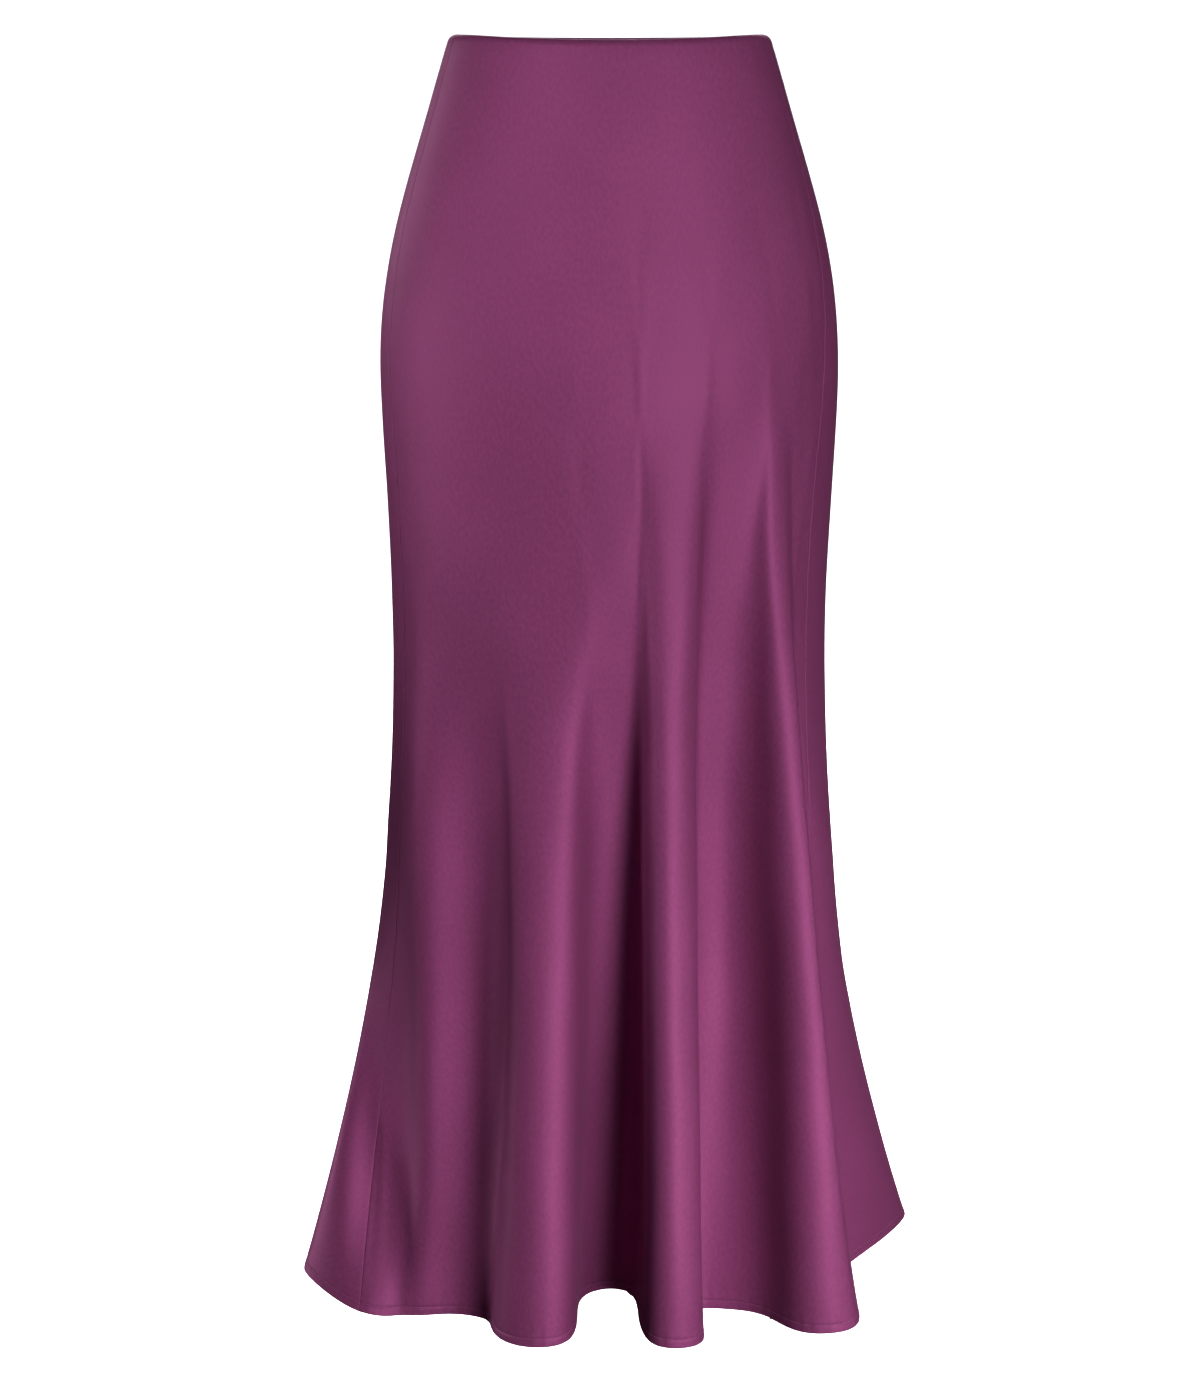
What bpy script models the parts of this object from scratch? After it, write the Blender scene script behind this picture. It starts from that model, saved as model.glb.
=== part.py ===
"""Mermaid (fishtail) skirt in satin, hollow, in the shape that it has when it is worn.

Metres. The front faces -Y, +X is to the right as seen from the front, and +Z is up. The origin is the middle
of the waist, where the wearer holds the skirt up.

The cloth is worked out as one closed ring at each height. A table of sections gives the smooth body, and a
table of flutes gives the wavy hem. Between a flute's start and the hem the ring moves from the one to the
other, so that a flute is narrow and steep where it begins and widens down to the hem. The ring is then cut at
the two side seams into a front and a back panel.
"""

from collections import namedtuple

import bpy
import numpy as np

# The cloth and its edges. The top edge dips at the middle of the front and rolls inwards.
WALL = 0.0012
SEAM_GAP = 0.0003
TOP_LEVEL = 0.0165
TOP_DIP = 0.006
EDGE_ROLL = 0.005
HEM_LEVEL = -0.935

# The turned edges are strips inside the panels
HEM_TURN_DEPTH = 0.008
WAIST_TURN_DEPTH = 0.030
TURN_WALL = 0.001
LAYER_GAP = 0.0004

# How finely the cloth is divided
PANEL_COLUMNS = 66
ROLL_ROWS = 3
BODY_ROWS = 21
TURN_ROWS = 1
RING_SAMPLES = 1440
CURVE_SAMPLES = 60
SHARP_ANGLE = 50

# How far a place on the hem blends into its neighbours, as a share of the hem's length: its shape, its angle
# round the body, and the heights given for its flute
SHAPE_BLEND = 0.0028
ANGLE_BLEND = 0.006
VALUE_BLEND = 0.022

# Where the hem runs straight in or out, it still takes this share of its length round the body
FLANK_SHARE = 0.22

# How gently a flute begins, as a share of its length
SOFT_START = 0.12

# A tight bend gets as many columns as this much straight cloth for each radian
BEND_WEIGHT = 0.03

# A short way along the ring, as a share of the hem, and how soon the ridges fade towards the sides
SEAM_STEP = 0.0005
RIDGE_FADE = 0.3

# Where the flutes' waist angles end, where their thigh angles are reached, and where they begin to spread
WAIST_ANGLE_LEVEL = 0.0
THIGH_ANGLE_LEVEL = -0.36
KNEE_LEVEL = -0.42

# The smooth body: half its width, and its depth in front of and behind the side
Section = namedtuple("Section", "level half_width front back")
SECTIONS = (
    Section(0.030, 0.1120, 0.082, 0.084),
    Section(0.000, 0.1215, 0.087, 0.091),
    Section(-0.045, 0.1352, 0.094, 0.103),
    Section(-0.100, 0.1520, 0.102, 0.118),
    Section(-0.160, 0.1656, 0.109, 0.131),
    Section(-0.230, 0.1705, 0.113, 0.136),
    Section(-0.310, 0.1676, 0.112, 0.129),
    Section(-0.400, 0.1645, 0.110, 0.117),
    Section(-0.480, 0.1653, 0.108, 0.110),
    Section(-0.560, 0.1703, 0.108, 0.109),
    Section(-0.650, 0.1787, 0.110, 0.111),
    Section(-0.740, 0.1918, 0.115, 0.118),
    Section(-0.820, 0.2090, 0.121, 0.129),
    Section(-0.880, 0.2255, 0.126, 0.139),
    Section(-0.940, 0.2430, 0.131, 0.149),
)

# One row for each crest, trough and side seam of the hem, from the left side round the front. x and y are
# its place at the hem and facing the way that the cloth faces there. before and after say how far its
# rounding reaches. waist and thigh are its places on the smooth body: all angles are in degrees from the
# front, turning to the right. start is the height where it begins, early how much sooner than evenly it
# opens, and lift how far the hem is raised there.
Flute = namedtuple("Flute", "name x y facing before after waist thigh start early lift")
FLUTES = (
    Flute("left_tip", -0.242, -0.054, -75, 0.020, 0.010, -96, -80, -0.58, 0.1, 0.024),
    Flute("left_seam", -0.192, -0.098, -30, 0.020, 0.035, -72, -70, -0.44, 0.1, -0.016),
    Flute("trough_ab", -0.093, -0.100, -40, 0.065, 0.003, -42, -32, -0.30, 0.8, -0.008),
    Flute("crest_b", -0.050, -0.152, 0, 0.045, 0.048, -24, -18, -0.42, 0.5, -0.006),
    Flute("trough_bc", -0.006, -0.062, 10, 0.038, 0.044, -2, 2, -0.36, 0.4, -0.002),
    Flute("crest_c", 0.048, -0.170, 5, 0.055, 0.055, 16, 14, -0.22, 0.9, 0.004),
    Flute("trough_cd", 0.074, -0.090, -5, 0.035, 0.060, 33, 30, -0.20, 0.7, -0.007),
    Flute("crest_d", 0.166, -0.148, 5, 0.045, 0.050, 56, 48, -0.20, 0.9, 0.005),
    Flute("right_seam", 0.184, -0.040, 70, 0.030, 0.016, 74, 62, -0.56, 0.0, 0.004),
    Flute("right_tip", 0.247, 0.066, 80, 0.036, 0.026, 104, 98, -0.64, -0.2, 0.010),
    Flute("trough_e", 0.178, 0.112, 158, 0.022, 0.024, 124, 122, -0.50, 0.2, 0.002),
    Flute("crest_f", 0.118, 0.186, 172, 0.034, 0.034, 142, 140, -0.36, 0.6, 0.000),
    Flute("trough_f", 0.064, 0.116, 180, 0.028, 0.030, 159, 160, -0.34, 0.6, 0.003),
    Flute("crest_g", 0.012, 0.190, 181, 0.032, 0.036, 177, 178, -0.30, 0.6, 0.000),
    Flute("trough_g", -0.046, 0.122, 180, 0.032, 0.026, 196, 197, -0.32, 0.6, 0.002),
    Flute("crest_h", -0.099, 0.187, 188, 0.032, 0.036, 213, 214, -0.38, 0.6, 0.000),
    Flute("trough_h", -0.152, 0.114, 200, 0.026, 0.024, 229, 231, -0.42, 0.3, 0.003),
    Flute("crest_i", -0.205, 0.118, 228, 0.034, 0.030, 246, 249, -0.50, 0.0, 0.000),
    Flute("trough_i", -0.202, 0.038, 268, 0.024, 0.024, 258, 260, -0.56, 0.0, 0.008),
)

# Soft ridges and grooves down the front panel, which the hem's own shape doesn't give: from x_top at top to
# x_foot at foot, highest at peak.
Ridge = namedtuple("Ridge", "name x_top top x_foot foot peak width height")
RIDGES = (
    Ridge("ridge_a", -0.134, -0.40, -0.148, -1.04, -0.54, 0.024, 0.011),
    Ridge("groove_left", -0.166, -0.50, -0.184, -1.00, -0.83, 0.025, -0.034),
    Ridge("ridge_ab", -0.084, -0.38, -0.090, -1.00, -0.66, 0.010, 0.008),
    Ridge("groove_cd", 0.084, -0.30, 0.096, -1.00, -0.66, 0.030, -0.012),
    Ridge("groove_c", 0.064, -0.29, 0.064, -0.68, -0.46, 0.007, -0.0022),
)

Finish = namedtuple("Finish", "name colour roughness sheen")
SATIN = Finish("plum_satin", (0.205, 0.042, 0.128, 1.0), 0.38, 0.25)
SATIN_WRONG_SIDE = Finish("plum_satin_wrong_side", (0.150, 0.032, 0.096, 1.0), 0.62, 0.10)


def clear_scene():
    for thing in list(bpy.data.objects):
        bpy.data.objects.remove(thing, do_unlink=True)


def column_of(rows, name):
    return np.array([getattr(row, name) for row in rows], float)


def unit(vectors):
    return vectors / np.linalg.norm(vectors, axis=-1, keepdims=True)


def natural_curve(knots, values, at):
    """The smoothest curve through the values: a cubic between each two knots, with no bend at the ends."""
    step = np.diff(knots)
    slope = np.diff(values) / step
    count = len(knots)
    system = np.eye(count)
    right = np.zeros(count)
    for i in range(1, count - 1):
        system[i, i - 1 : i + 2] = step[i - 1], 2 * (step[i - 1] + step[i]), step[i]
        right[i] = 6 * (slope[i] - slope[i - 1])
    bend = np.linalg.solve(system, right)
    at = np.clip(at, knots[0], knots[-1])
    left = np.clip(np.searchsorted(knots, at, side="right") - 1, 0, count - 2)
    run = at - knots[left]
    h = step[left]
    linear = slope[left] - h * (2 * bend[left] + bend[left + 1]) / 6
    cubic = (bend[left + 1] - bend[left]) / (6 * h)
    return values[left] + run * (linear + run * (bend[left] / 2 + run * cubic))


def body_sizes(level):
    """Half width, front depth and back depth of the smooth body at each level."""
    rows = sorted(SECTIONS, key=lambda row: row.level)
    knots = column_of(rows, "level")
    sizes = ("half_width", "front", "back")
    return tuple(natural_curve(knots, column_of(rows, size), level) for size in sizes)


def body_ring(angle, level):
    """The oval at this level: x is half width times sine, and y is front or back depth times minus cosine."""
    half_width, front, back = body_sizes(level)
    forward = np.cos(angle)
    depth = np.where(forward > 0, front, back)
    return half_width * np.sin(angle), -depth * forward


def blended(values, share):
    """A ring of values smoothed by a bell curve of this share of the ring."""
    waves = np.fft.rfft(values)
    order = np.arange(len(waves))
    return np.fft.irfft(waves * np.exp(-2 * (np.pi * share * order) ** 2), len(values))


def hem_curve():
    """x and y of the hem at every sample: a Bezier curve from each flute to the next, rounded off."""
    x = column_of(FLUTES, "x")
    y = column_of(FLUTES, "y")
    facing = np.radians(column_of(FLUTES, "facing"))
    before = column_of(FLUTES, "before")
    after = column_of(FLUTES, "after")
    t = np.arange(CURVE_SAMPLES)[:, None] / CURVE_SAMPLES
    points = []
    for place, along in ((x, np.cos(facing)), (y, np.sin(facing))):
        leave = place + after * along
        arrive = np.roll(place - before * along, -1)
        end = np.roll(place, -1)
        curve = (1 - t) ** 3 * place + 3 * (1 - t) ** 2 * t * leave + 3 * (1 - t) * t**2 * arrive + t**3 * end
        points.append(curve.T.ravel())
    return points


def hem_angles():
    """Where each flute's place at the hem lies round the smooth body, as an angle from the front."""
    half_width, front, back = body_sizes(np.array([HEM_LEVEL]))
    x = column_of(FLUTES, "x") / half_width
    y = column_of(FLUTES, "y")
    return np.unwrap(np.arctan2(x, -y / np.where(y < 0, front, back)))


def way_round(x, y, angle):
    """How far each sample of the hem has come from its flute (0) to the next (1), as seen from the body.

    A short stretch counts as its length along the ring, or FLANK_SHARE of its length where it runs in or out.
    """
    ring_x, ring_y = unit(np.stack([np.cos(angle), np.sin(angle)], axis=-1)).T
    step_x = np.roll(x, -1) - x
    step_y = np.roll(y, -1) - y
    along = np.maximum(step_x * ring_x + step_y * ring_y, FLANK_SHARE * np.hypot(step_x, step_y))
    along = along.reshape(len(FLUTES), CURVE_SAMPLES)
    return ((np.cumsum(along, axis=1) - along) / along.sum(axis=1, keepdims=True)).ravel()


def angles_round(x, y):
    """The waist, thigh and hem angles of the hem's samples, between those of the flutes by way_round."""
    corners = {name: np.radians(column_of(FLUTES, name)) for name in ("waist", "thigh")}
    corners["hem"] = hem_angles()
    corners = {name: np.append(angle, angle[0] + 2 * np.pi) for name, angle in corners.items()}
    flute = np.arange(len(FLUTES) + 1)
    place = np.arange(len(x)) / CURVE_SAMPLES
    done = np.floor(place) + way_round(x, y, np.interp(place, flute, corners["hem"]))
    return {name: np.interp(np.append(done, len(FLUTES)), flute, angle) for name, angle in corners.items()}


def ring_table():
    """What the cloth needs to know round the hem, at RING_SAMPLES places evenly spaced along it."""
    x, y = hem_curve()
    length = np.hypot(np.roll(x, -1) - x, np.roll(y, -1) - y)
    mark = np.concatenate([[0], np.cumsum(length)])
    mark /= mark[-1]
    share = np.arange(RING_SAMPLES) / RING_SAMPLES
    table = {"share": share}
    for name, value in (("x", x), ("y", y)):
        table[name] = blended(np.interp(share, mark, np.append(value, value[0])), SHAPE_BLEND)
    for name, angle in angles_round(x, y).items():
        table[name] = blended(np.interp(share, mark, angle - 2 * np.pi * mark), ANGLE_BLEND)
    flute_share = mark[:-1][::CURVE_SAMPLES]
    for name in ("start", "early", "lift"):
        value = column_of(FLUTES, name)
        whole = np.interp(share, np.append(flute_share, 1), np.append(value, value[0]))
        table[name] = blended(whole, VALUE_BLEND)
    table["seams"] = {row.name: at for row, at in zip(FLUTES, flute_share) if row.name.endswith("_seam")}
    return table


def around(table, name, share):
    return np.interp(share % 1, np.append(table["share"], 1), np.append(table[name], table[name][0]))


def eased(value):
    """0 up to 0, 1 from 1 on, and an even S between."""
    value = np.clip(value, 0, 1)
    return value * value * (3 - 2 * value)


def ridge_height(x, level, angle):
    """How far forward the ridges and grooves stand: a bell across and a long swell down."""
    height = np.zeros_like(x)
    for row in RIDGES:
        down = (level - row.top) / (row.foot - row.top)
        centre = row.x_top + (row.x_foot - row.x_top) * down
        above = eased((row.top - level) / (row.top - row.peak))
        below = eased((level - row.foot) / (row.peak - row.foot))
        height += row.height * above * below * np.exp(-(((x - centre) / row.width) ** 2))
    return height * eased(np.cos(angle) / RIDGE_FADE)


def top_level(angle):
    """The top edge dips a little at the middle of the front."""
    return TOP_LEVEL - TOP_DIP * np.clip(np.cos(angle), 0, 1) ** 2


def angle_at(level, waist, thigh, hem):
    """A place's angle round the body: the waist's, easing to the thigh's, and from there to the hem's.

    Below the thigh it is the angle of (1 - t) x thigh direction x thigh width + t x hem direction x hem
    width, where t is the share of the flare's widening reached, so that a flute hangs straight down.
    """
    down = eased((WAIST_ANGLE_LEVEL - level) / (WAIST_ANGLE_LEVEL - THIGH_ANGLE_LEVEL))
    width, _, _ = body_sizes(level)
    narrow, wide = body_sizes(np.array([KNEE_LEVEL, HEM_LEVEL]))[0]
    flare = np.where(level < KNEE_LEVEL, np.clip((width - narrow) / (wide - narrow), 0, 1), 0)
    sideways = (1 - flare) * narrow * np.sin(thigh) + flare * wide * np.sin(hem)
    forward = (1 - flare) * narrow * np.cos(thigh) + flare * wide * np.cos(hem)
    below = thigh + np.angle((forward + 1j * sideways) * np.exp(-1j * thigh))
    return waist + (below - waist) * down


def cloth(table, share, drop):
    """Points of the outer face, for shares round the hem and drops from the top edge (0) to the hem (1).

    Each is body ring + opening x (hem place - hem body ring), less the ridges forward and the rolled edge.
    With run = (start - level) / (start - hem level), eased in, the opening is run x (1 + early x (1 - run)).
    """
    share, drop = np.meshgrid(share, drop)
    turn = 2 * np.pi * share
    waist, thigh, hem = (around(table, name, share) + turn for name in ("waist", "thigh", "hem"))
    start, early, lift = (around(table, name, share) for name in ("start", "early", "lift"))
    top = top_level(waist)
    level = top + (HEM_LEVEL + lift - top) * drop
    angle = angle_at(level, waist, thigh, hem)
    x, y = body_ring(angle, level)
    hem_x, hem_y = body_ring(hem, np.full_like(level, HEM_LEVEL))
    run = np.clip((start - level) / (start - HEM_LEVEL - lift), 0, 1)
    run = run**2 * (1 + SOFT_START) / (run + SOFT_START)
    opening = run * (1 + early * (1 - run))
    x = x + opening * (around(table, "x", share) - hem_x)
    y = y + opening * (around(table, "y", share) - hem_y)
    roll = np.clip(1 - (top - level) / EDGE_ROLL, 0, 1)
    back = EDGE_ROLL * (1 - np.sqrt(1 - roll**2))
    y = y - ridge_height(x, level, angle)
    return np.stack([x - back * np.sin(angle), y + back * np.cos(angle), level], axis=-1)


def column_shares(table, start, end, count):
    """Shares from one seam to the next, closer together where the hem bends."""
    fine = np.linspace(start, end, RING_SAMPLES)
    x = around(table, "x", fine)
    y = around(table, "y", fine)
    step = np.hypot(np.diff(x), np.diff(y))
    turn = np.abs(np.diff(np.unwrap(np.arctan2(np.diff(y), np.diff(x)))))
    effort = step + BEND_WEIGHT * np.append(turn, 0)
    mark = np.concatenate([[0], np.cumsum(effort)])
    return np.interp(np.linspace(0, mark[-1], count + 1), mark, fine)


def row_drops():
    """Drops for the rows: round the rolled top edge, the turned waist, the body and the turned hem."""
    height = TOP_LEVEL - HEM_LEVEL
    hem_turn = height - HEM_TURN_DEPTH
    roll = EDGE_ROLL * (1 - np.cos(np.linspace(0, np.pi / 2, ROLL_ROWS + 1)))
    waist = np.linspace(EDGE_ROLL, WAIST_TURN_DEPTH, TURN_ROWS + 1)
    body = np.linspace(WAIST_TURN_DEPTH, hem_turn, BODY_ROWS + 1)
    hem = np.linspace(hem_turn, height, TURN_ROWS + 1)
    return np.concatenate([roll[:-1], waist[:-1], body[:-1], hem]) / height


def faces_and_normals(table, share, drop):
    """The outer points and outward directions of one piece, its side edges drawn back by half the seam's gap.

    Both are read from a grid with one more column past each seam, so that two pieces agree at their seam.
    """
    wider = np.concatenate([[share[0] - SEAM_STEP], share, [share[-1] + SEAM_STEP]])
    points = cloth(table, wider, drop)
    across = unit(points[:, 2:] - points[:, :-2])
    across[:, [0, -1]] = unit(seam_direction(table, share[[0, -1]], drop))
    down = np.gradient(points[:, 1:-1], axis=0)
    points = points[:, 1:-1]
    points[:, 0] += across[:, 0] * SEAM_GAP / 2
    points[:, -1] -= across[:, -1] * SEAM_GAP / 2
    return points, unit(np.cross(down, across))


def seam_direction(table, seams, drop):
    """The way along the ring at each seam, the same for the piece on either side of it."""
    return cloth(table, seams + SEAM_STEP, drop) - cloth(table, seams - SEAM_STEP, drop)


def quads(index):
    """The four corners of each cell of a grid of point numbers, going down, across, up and back."""
    return np.stack([index[:-1, :-1], index[1:, :-1], index[1:, 1:], index[:-1, 1:]], axis=-1).reshape(-1, 4)


def wall_mesh(name, outer, inner):
    """A closed mesh of two grids of points: the outer face, the inner face and the edges between them."""
    rows, columns = outer.shape[:2]
    count = rows * columns
    index = np.arange(count).reshape(rows, columns)
    loop = np.concatenate([index[0, :-1], index[:-1, -1], index[-1, :0:-1], index[:0:-1, 0]])
    following = np.roll(loop, -1)
    edges = np.stack([loop, following, following + count, loop + count], axis=-1)
    faces = np.concatenate([quads(index), quads(index)[:, ::-1] + count, edges])
    mesh = bpy.data.meshes.new(name)
    mesh.from_pydata(np.concatenate([outer, inner]).reshape(-1, 3).tolist(), [], faces.tolist())
    mesh.validate()
    mesh.shade_smooth()
    mesh.set_sharp_from_angle(angle=np.radians(SHARP_ANGLE))
    return mesh


def finish_material(finish):
    material = bpy.data.materials.new(finish.name)
    material.use_nodes = True
    shader = material.node_tree.nodes["Principled BSDF"]
    shader.inputs["Base Color"].default_value = finish.colour
    shader.inputs["Roughness"].default_value = finish.roughness
    shader.inputs["Sheen Weight"].default_value = finish.sheen
    shader.inputs["Metallic"].default_value = 0.0
    material.diffuse_color = finish.colour
    return material


def add_piece(name, mesh, material):
    mesh.materials.append(material)
    bpy.context.scene.collection.objects.link(bpy.data.objects.new(name, mesh))


def add_turn(name, outer, normal, material):
    """A strip of the cloth turned to the inside, just clear of the panel's inner face."""
    face = outer - (WALL + LAYER_GAP) * normal
    add_piece(name, wall_mesh(name, face, face - TURN_WALL * normal), material)


def make_half(table, side, start, end, satin, wrong_side):
    """One panel from seam to seam, with its turned waist and its turned hem."""
    share = column_shares(table, start, end, PANEL_COLUMNS)
    outer, normal = faces_and_normals(table, share, row_drops())
    panel = f"{side}_panel"
    add_piece(panel, wall_mesh(panel, outer, outer - WALL * normal), satin)
    waist = slice(ROLL_ROWS, ROLL_ROWS + TURN_ROWS + 1)
    hem = slice(-TURN_ROWS - 1, None)
    add_turn(f"waist_turn_{side}", outer[waist], normal[waist], wrong_side)
    add_turn(f"hem_turn_{side}", outer[hem], normal[hem], wrong_side)


def main():
    clear_scene()
    table = ring_table()
    left = table["seams"]["left_seam"]
    right = table["seams"]["right_seam"]
    satin = finish_material(SATIN)
    wrong_side = finish_material(SATIN_WRONG_SIDE)
    make_half(table, "front", left, right, satin, wrong_side)
    make_half(table, "back", right, left + 1, satin, wrong_side)


main()
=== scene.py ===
"""Mermaid (fishtail) skirt in plum satin: its finished cloth, turned edges and stitching, and a studio.

Metres. The front faces -Y, +X is to the right as seen from the front, and +Z is up. The origin is the
middle of the waist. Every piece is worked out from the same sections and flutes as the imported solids, so
that it lies on them with no fitting.
"""

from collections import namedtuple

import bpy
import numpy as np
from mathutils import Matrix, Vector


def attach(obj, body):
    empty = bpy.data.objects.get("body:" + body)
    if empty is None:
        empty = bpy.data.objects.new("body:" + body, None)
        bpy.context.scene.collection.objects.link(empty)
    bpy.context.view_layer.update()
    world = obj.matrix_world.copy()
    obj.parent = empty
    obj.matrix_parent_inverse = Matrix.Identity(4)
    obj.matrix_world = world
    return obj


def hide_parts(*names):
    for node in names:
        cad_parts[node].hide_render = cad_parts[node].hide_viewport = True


bl_info = {
    "name": "Mermaid fishtail skirt",
    "version": (1, 0, 0),
    "blender": (4, 5, 0),
    "location": "3D View > Sidebar > Skirt",
    "description": "Worn satin fishtail skirt on its packed solids: cloth, turned edges and stitching",
    "category": "Object",
}

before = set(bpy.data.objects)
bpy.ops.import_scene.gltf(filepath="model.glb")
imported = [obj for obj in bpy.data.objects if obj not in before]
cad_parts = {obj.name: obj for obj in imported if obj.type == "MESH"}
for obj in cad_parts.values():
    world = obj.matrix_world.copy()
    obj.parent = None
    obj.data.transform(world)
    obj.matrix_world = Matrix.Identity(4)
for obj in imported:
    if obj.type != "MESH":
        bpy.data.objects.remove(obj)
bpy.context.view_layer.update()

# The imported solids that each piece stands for
PANEL_NODES = {"front": "front_panel", "back": "back_panel"}
HEM_TURN_NODES = {"front": "hem_turn_front", "back": "hem_turn_back"}
WAIST_TURN_NODES = {"front": "waist_turn_front", "back": "waist_turn_back"}

# Sampling of the ring that the cloth is worked out from
RING_SAMPLES = 1440
CURVE_SAMPLES = 60

# How far a place on the hem blends into its neighbours, as a share of the hem's length: its shape, its angle
# round the body, and the heights given for its flute
SHAPE_BLEND = 0.0028
ANGLE_BLEND = 0.006
VALUE_BLEND = 0.022

# Where the hem runs straight in or out, it still takes this share of its length round the body
FLANK_SHARE = 0.22

# How gently a flute begins, as a share of its length
SOFT_START = 0.12

# A tight bend gets as many columns as this much straight cloth for each radian
BEND_WEIGHT = 0.03

# How soon the front's ridges fade towards the sides
RIDGE_FADE = 0.3

# Where the flutes' waist angles end, where their thigh angles are reached, and where they begin to spread
WAIST_ANGLE_LEVEL = 0.0
THIGH_ANGLE_LEVEL = -0.36
KNEE_LEVEL = -0.42

# The regular columns end this share of the hem short of a seam, and the pressed seam takes over. Its rounded
# edge has so many columns, and its last column goes so deep and so far past the seam.
SEAM_SHARE = 0.0022
SEAM_ROUND_STEPS = 4
SEAM_DEEP = 0.0008
SEAM_OVERLAP = 0.0004

# Rows round the top roll, steps of a folded edge, rows of the turned waist, and how soon it meets the panel
ROLL_ROWS = 5
FOLD_STEPS = 6
WAIST_TURN_ROWS = 14
WAIST_TURN_REACH = 0.010

# Gap between the panel and the cloth that is turned against it
TURN_GAP = 0.0001

# Heights over the hem of the rows of a panel's hem band, and of the turned hem inside
BAND_STEPS = (
    0.0009, 0.0014, 0.0022, 0.0034, 0.0048, 0.0057,
    0.0063, 0.0068, 0.0073, 0.0079, 0.0088, 0.0102,
)
HEM_TURN_STEPS = (0.0074, 0.0068, 0.0060, 0.0045, 0.0030, 0.0018)

# The hem band: how far it bulges, how soft its edges are, and the groove along its stitches
BAND_EDGE = 0.0012
BAND_BULGE = 0.00022
GROOVE_DEPTH = 0.00030
GROOVE_WIDTH = 0.0008

# The ripples along the stitches: how many round the hem, coarse and fine, the fine ones' share, how much and
# how often the coarse ones wander, and how far they reach
PUCKER_ROUND = 173
PUCKER_FINE = 261
PUCKER_FINE_SHARE = 0.6
PUCKER_WANDER = 1.7
PUCKER_WANDER_ROUND = 5
PUCKER_REACH = 0.007

# The ripples down the side seams: height, length, how much and how often they wander, and how far they reach.
# The cloth is so much wider in the flare than its distance from the middle line says.
SEAM_PUCKER = 0.00022
SEAM_PUCKER_LENGTH = 0.031
SEAM_WANDER = 2
SEAM_WANDER_RATE = 23
SEAM_PUCKER_REACH = 0.010
FLARE_STRETCH = 1.5

# Where the slow waves begin, and over what height they grow
SWELL_TOP = -0.04
SWELL_FADE = 0.12

# One stitch is a bead of so many sides and rings. Stitches are placed on so many samples of the hem.
STITCH_SIDES = 6
STITCH_STEPS = 4
STITCH_SAMPLES = 4 * RING_SAMPLES

# The smooth body: half its width, and its depth in front of and behind the side
Section = namedtuple("Section", "level half_width front back")
SECTIONS = (
    Section(0.030, 0.1120, 0.082, 0.084),
    Section(0.000, 0.1215, 0.087, 0.091),
    Section(-0.045, 0.1352, 0.094, 0.103),
    Section(-0.100, 0.1520, 0.102, 0.118),
    Section(-0.160, 0.1656, 0.109, 0.131),
    Section(-0.230, 0.1705, 0.113, 0.136),
    Section(-0.310, 0.1676, 0.112, 0.129),
    Section(-0.400, 0.1645, 0.110, 0.117),
    Section(-0.480, 0.1653, 0.108, 0.110),
    Section(-0.560, 0.1703, 0.108, 0.109),
    Section(-0.650, 0.1787, 0.110, 0.111),
    Section(-0.740, 0.1918, 0.115, 0.118),
    Section(-0.820, 0.2090, 0.121, 0.129),
    Section(-0.880, 0.2255, 0.126, 0.139),
    Section(-0.940, 0.2430, 0.131, 0.149),
)

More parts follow.
